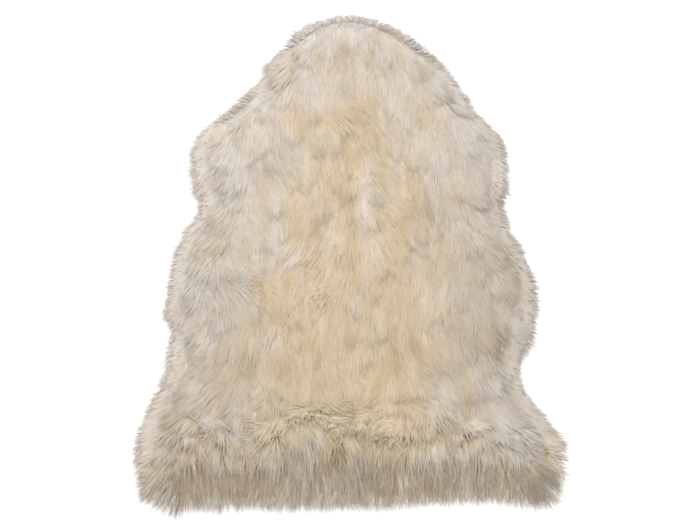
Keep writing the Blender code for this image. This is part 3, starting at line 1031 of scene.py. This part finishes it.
    # Its two tones, the second with its painted light and shade, choose a column of the map, and the way
    # along it runs up that column.
    dither = named(tree, "dither")
    warmth = (named(tree, "warmth") * (WARMTHS - 1.0) + dither).maths("FLOOR")
    warmth = warmth.maths("MAXIMUM", 0.0).maths("MINIMUM", WARMTHS - 1.0)
    light = named(tree, "light") + named(tree, "tone") * named(tree, "contrast") * 0.5
    light = (light * (LIGHTS - 1.0) + dither).maths("FLOOR")
    light = light.maths("MAXIMUM", 0.0).maths("MINIMUM", LIGHTS - 1.0)
    column = (warmth * LIGHTS + light + 0.5 + across * MAP_BREADTH) / (WARMTHS * LIGHTS)
    way_up = along * MAP_LENGTH + deep * MAP_DEPTH + MAP_START
    strands = kept(strands, "OFBake", joined(tree, column, way_up, 0.0), "FLOAT2", "CORNER")
    strands = made(tree, "GeometryNodeSetShadeSmooth", Geometry=strands)
    strands = made(tree, "GeometryNodeSetMaterial", Geometry=strands, Material=given["Wool"])
    output = tree.nodes.new("NodeGroupOutput")
    plug(tree, strands, output.inputs["Fleece"])
    return tree


# Linear colours: at the root and at the tip, on the cool edge and on the warm back.
COOL_ROOT, COOL_TIP = (0.88, 0.78, 0.68), (0.95, 0.89, 0.825)
WARM_ROOT, WARM_TIP = (0.88, 0.67, 0.43), (0.96, 0.81, 0.585)
DARKEST, LIGHTEST = 0.62, 1.03  # the share of these that a strand has
BROWNING = (1.0, 1.21, 1.54)  # a darker strand is a browner one, which also warms the painted shade
TIP_COLOUR_RATE = 1.7  # a strand has the colour of its tip from over half way


def long_wool():
    """Ivory wool, warm on the back, grey at the edge and browner at its roots, by the strands' map,
    which also carries painted light and shade.
    """
    material, *_, shader = blank("long wool")
    tree = material.node_tree
    fill(shader, Roughness=0.55, Specular_IOR_Level=0.35, Sheen_Weight=0.30, Sheen_Roughness=0.4)
    uv = Field(tree, tree.nodes.new("ShaderNodeUVMap").outputs["UV"])
    uv.socket.node.uv_map = "OFBake"
    column, along, _ = parts_of(uv)
    column = (column * (WARMTHS * LIGHTS)).maths("FLOOR")
    warmth = (column / LIGHTS).maths("FLOOR") / (WARMTHS - 1.0)
    light = column.maths("MODULO", float(LIGHTS)) / (LIGHTS - 1.0)
    paling = (along * TIP_COLOUR_RATE).maths("MINIMUM", 1.0)
    cool_root, warm_root = joined(tree, *COOL_ROOT), joined(tree, *WARM_ROOT)
    cool_tip, warm_tip = joined(tree, *COOL_TIP), joined(tree, *WARM_TIP)
    colour = mixed(mixed(cool_root, warm_root, warmth), mixed(cool_tip, warm_tip, warmth), paling)
    shade = light * (LIGHTEST - DARKEST) + DARKEST
    colour = colour * joined(tree, *(shade.maths("POWER", power) for power in BROWNING))
    plug(tree, colour, shader.inputs["Base Color"])
    return material


def grow(skin, tree, wool, zone, lengths):
    """The strands that grow in one zone of the skin, as a plain mesh."""
    grower = bpy.data.objects.new("grower", skin)
    bpy.context.scene.collection.objects.link(grower)
    modifier = grower.modifiers.new("staples", "NODES")
    modifier.node_group = tree
    values = {
        "Zone": zone,
        "Lock Spacing": LOCK_SPACING,
        "Wisp Spacing": WISP_SPACING,
        "Strands": STRANDS_PER_SQUARE_METRE,
        "Strand Width": STRAND_WIDTH,
        "Lengths": lengths,
        "Wool": wool,
    }
    for item in tree.interface.items_tree:
        if item.in_out == "INPUT" and item.name in values:
            modifier[item.identifier] = values[item.name]
    graph = bpy.context.evaluated_depsgraph_get()
    mesh = bpy.data.meshes.new_from_object(grower.evaluated_get(graph))
    bpy.data.objects.remove(grower)
    return mesh


def zone_of(place):
    """Which piece of the fleece grows at a place."""
    for zone, (_, back, front, side, _) in enumerate(FLEECE):
        if back <= place.y < front and side * place.x >= 0:
            return zone


KEPT_LAYERS = ("OFBake", "custom_normal", "sharp_face")  # the strands' map and their shading
skin = growing_skin(undercoat, outline)
zones = skin.attributes.new("zone", "INT", "FACE")
for polygon, item in zip(skin.polygons, zones.data):
    item.value = zone_of(polygon.center)
staples, wool = staples_tree(), long_wool()
for zone, (name, *_, lengths) in enumerate(FLEECE):
    mesh = grow(skin, staples, wool, zone, lengths)
    spare = [a.name for a in mesh.attributes if not a.is_required and a.name not in KEPT_LAYERS]
    for layer in spare:
        mesh.attributes.remove(mesh.attributes[layer])
    piece = finished(name, mesh, wool)
    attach(piece, "root")
    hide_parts("sheepskin")
